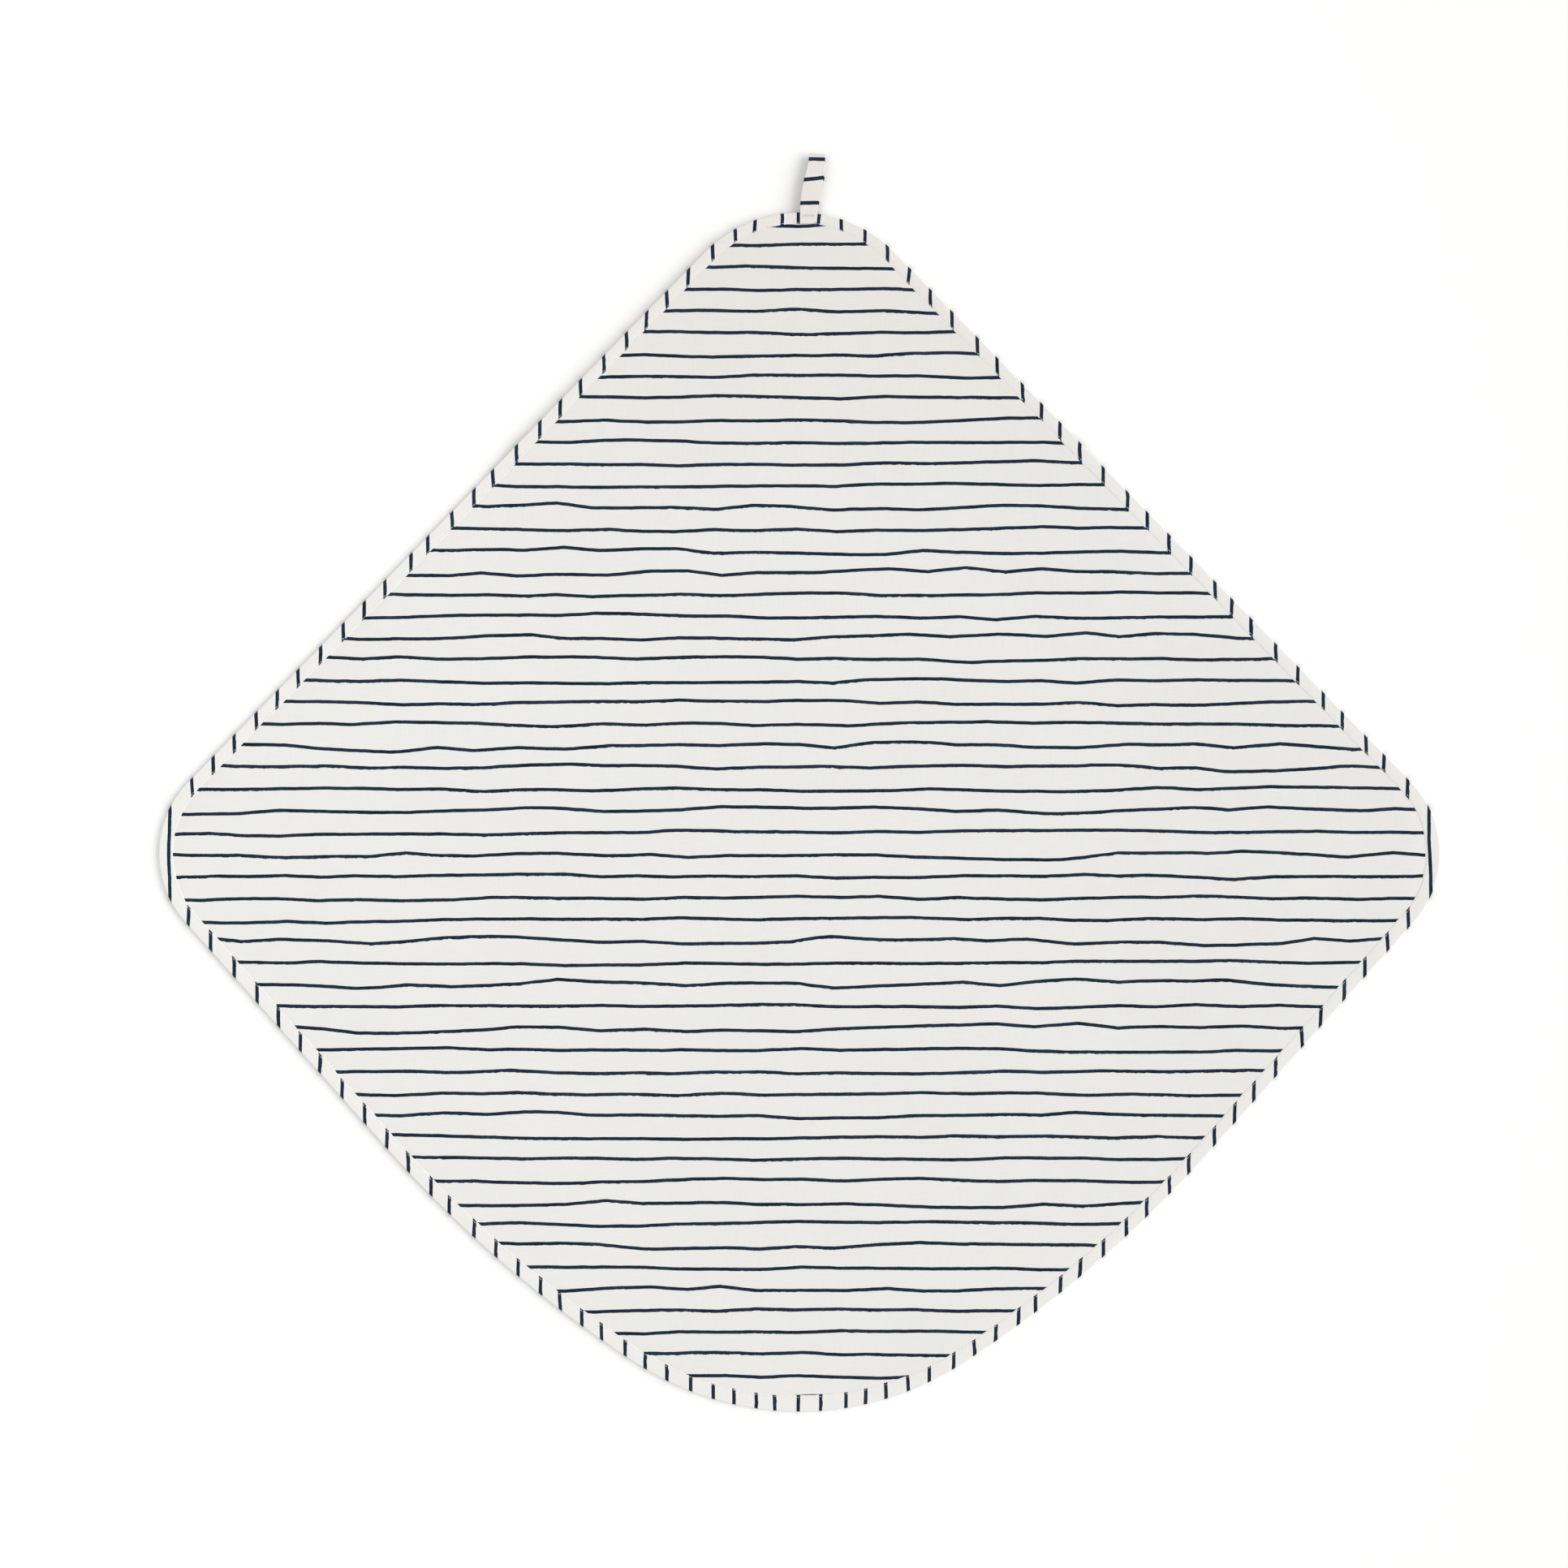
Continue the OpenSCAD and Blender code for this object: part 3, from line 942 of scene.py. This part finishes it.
def spline(points, count):
    """A smooth line through the points, evenly spaced along it."""
    points = np.asarray(points, float)
    padded = np.vstack([2 * points[0] - points[1], points, 2 * points[-1] - points[-2]])
    out = []
    for i in range(len(points) - 1):
        a, b, c, d = padded[i:i + 4]
        for t in np.linspace(0, 1, SPLINE_STEPS, endpoint=False):
            out.append(0.5 * (2 * b + (c - a) * t + (2 * a - 5 * b + 4 * c - d) * t * t
                              + (3 * b - a - 3 * c + d) * t ** 3))
    out.append(points[-1])
    out = np.array(out)
    along = np.concatenate([[0], np.cumsum(np.linalg.norm(np.diff(out, axis=0), axis=1))])
    even = np.linspace(0, along[-1], count)
    return np.stack([np.interp(even, along, out[:, k]) for k in range(out.shape[1])], axis=-1)


def make_loop():
    """The loop's tape, folded in two, and its two sewn ends on the binding."""
    path = spline(loop_path(), LOOP_STEPS)
    ahead = np.gradient(path, axis=0)
    ahead /= np.linalg.norm(ahead, axis=1)[:, None]
    out_y, out_z = -ahead[:, 1], ahead[:, 0]
    section = LOOP_SECTION + [(across, -thick) for across, thick in LOOP_SECTION[-2:0:-1]]
    verts, rest = [], []
    for i, ((y, z), oy, oz) in enumerate(zip(path, out_y, out_z)):
        t = loop_share(y)
        # The upper layer of tape lies a little to the left of the lower one
        upper = smooth((i / len(path) - 0.4) / 0.2)
        shift = (0.5 - upper) * 0.8 * MM * math.sin(math.pi * t)
        for across, thick in section:
            wide = loop_half_width(y) * across
            n = thick * LOOP_TAPE / 2
            px = loop_centre(y) + shift + wide
            py = y + oy * n - 0.04 * t * wide
            ripple = 0.10 * MM * math.sin(across * 2.2 + y * 260) * math.sin(math.pi * t)
            verts.append((px, py, z + oz * n + ripple))
            rest.append((px, y - 0.05 * wide, z))
    faces = quads(len(path), len(section), closed_cols=True)
    faces.append(list(range(len(section)))[::-1])
    last = (len(path) - 1) * len(section)
    faces.append([last + k for k in range(len(section))])
    faces = [f[::-1] for f in faces]
    obj = mesh_object("loop_tape", verts, faces, rest=rest)
    dress(obj, TAPE, "loop_tape", "hanging_loop", "loop_tail")
    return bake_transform(obj)


def make_bar_tack():
    """A zigzag of thread across the tape, with a second pass close over the first."""
    top_z = CORNER_EDGE_TOP + 1.55 * MM
    paths = []
    for shift, phase in ((-TACK_SHIFT, 0), (TACK_SHIFT, 1)):
        points = []
        for k in range(TACK_TEETH * 2 + 1):
            x = LOOP_X - TACK_REACH + TACK_REACH * k / TACK_TEETH
            y = TACK_Y + (TACK_DEPTH if (k + phase) % 2 else -TACK_DEPTH) + shift
            points.append((x, y))
        for (xa, ya), (xb, yb) in zip(points, points[1:]):
            paths.append([(xa + (xb - xa) * t, ya + (yb - ya) * t, top_z + h * MM)
                          for t, h in TACK_BOW])
    verts, faces = tube_mesh(paths, TACK_THREAD)
    obj = mesh_object("bar_tack", verts, faces)
    dress(obj, THREAD, "thread", "loop_bar_tack")
    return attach(obj, "hood_back")


# ---------------------------------------------------------------- the care label

def make_label():
    """A blank satin label on the terry side, held by a row of stitches at each end."""
    uu, vv = np.meshgrid(np.linspace(-0.5, 0.5, 25), np.linspace(-0.5, 0.5, 41))
    u, v = uu * LABEL_W, vv * LABEL_L
    x = LABEL_MIDDLE[0] + u * ACROSS_LABEL[0] + v * ALONG_LABEL[0]
    y = LABEL_MIDDLE[1] + u * ACROSS_LABEL[1] + v * ALONG_LABEL[1]
    wave = 0.06 * MM * np.sin(vv * 21) * np.cos(uu * 7)
    top = LABEL_TOP + wave
    rest = np.stack([u, v, 0 * u], axis=-1).reshape(-1, 3)
    obj = plate("care_label_ribbon", x, y, top, top - LABEL_T, rest=rest)
    dress(obj, LABEL, "label", "care_label")
    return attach(obj, "towel")


# ---------------------------------------------------------------- making the object

print_sheet = make_print_sheet()
terry_sheet = make_terry_sheet()
edge_tape = make_edge_binding()
edge_stitches = make_edge_stitches()
for side, word in ((-1, "left"), (1, "right")):
    make_hood_half(side, word)
    make_mouth_tape(side, word)
    make_mouth_stitches(side, word)
make_seam_allowance()
make_loop()
make_bar_tack()
make_label()


# ---------------------------------------------------------------- floor, light and camera

FLOOR_PAPER = (0.875, 0.872, 0.865, 1)
FLOOR_SIZE = 30
FLOOR_GAP = 0.3 * MM
ROOM_LIGHT = 0.72
KEY_LIGHT = 2.28
KEY_SOFTNESS = math.radians(60)
KEY_PLACE = (4.0, 0.2, 2.35)
TOP_LIGHT = 5.5
TOP_SIZE = 1.2
TOP_PLACE = (-1.0, -0.1, 1.8)
TOP_TARGET = (-0.2, 0, 0)


def make_floor():
    bpy.ops.mesh.primitive_plane_add(size=FLOOR_SIZE, location=(0, 0, -FLOOR_GAP))
    floor = bpy.context.object
    floor.name = "floor"
    m = Nodes("floor_paper")
    m.shader.inputs["Base Color"].default_value = FLOOR_PAPER
    m.shader.inputs["Roughness"].default_value = 0.95
    m.shader.inputs["Specular IOR Level"].default_value = 0.0
    floor.data.materials.append(m.material)


def aim(light, at, target=(0, 0, 0)):
    light.location = at
    light.rotation_euler = (Vector(target) - Vector(at)).to_track_quat("-Z", "Y").to_euler()
    bpy.context.scene.collection.objects.link(light)


def make_lights():
    """A white room, a wide soft light from the right, and a small one above, left of the middle."""
    world = bpy.data.worlds.new("studio")
    world.use_nodes = True
    background = world.node_tree.nodes["Background"]
    background.inputs["Color"].default_value = (1, 1, 1, 1)
    background.inputs["Strength"].default_value = ROOM_LIGHT
    bpy.context.scene.world = world
    key = bpy.data.lights.new("key", "SUN")
    key.energy = KEY_LIGHT
    key.angle = KEY_SOFTNESS
    aim(bpy.data.objects.new("key", key), KEY_PLACE)
    top = bpy.data.lights.new("top", "AREA")
    top.shape = "DISK"
    top.size = TOP_SIZE
    top.energy = TOP_LIGHT
    aim(bpy.data.objects.new("top", top), TOP_PLACE, TOP_TARGET)


LENS = 85.0
SENSOR = 36.0
VIEW_WIDTH = 1.2224
VIEW_MIDDLE = (-12 * MM, -0.6 * MM)


def make_camera():
    """A camera that looks straight down on the towel."""
    data = bpy.data.cameras.new("camera")
    data.lens = LENS
    data.sensor_width = SENSOR
    data.clip_end = 100
    camera = bpy.data.objects.new("camera", data)
    distance = VIEW_WIDTH * LENS / SENSOR
    camera.location = (*VIEW_MIDDLE, distance + EDGE_TOP)
    bpy.context.scene.collection.objects.link(camera)
    bpy.context.scene.camera = camera


make_floor()
make_lights()
make_camera()
bpy.context.scene.view_settings.view_transform = "Standard"
bpy.context.scene.view_settings.look = "None"
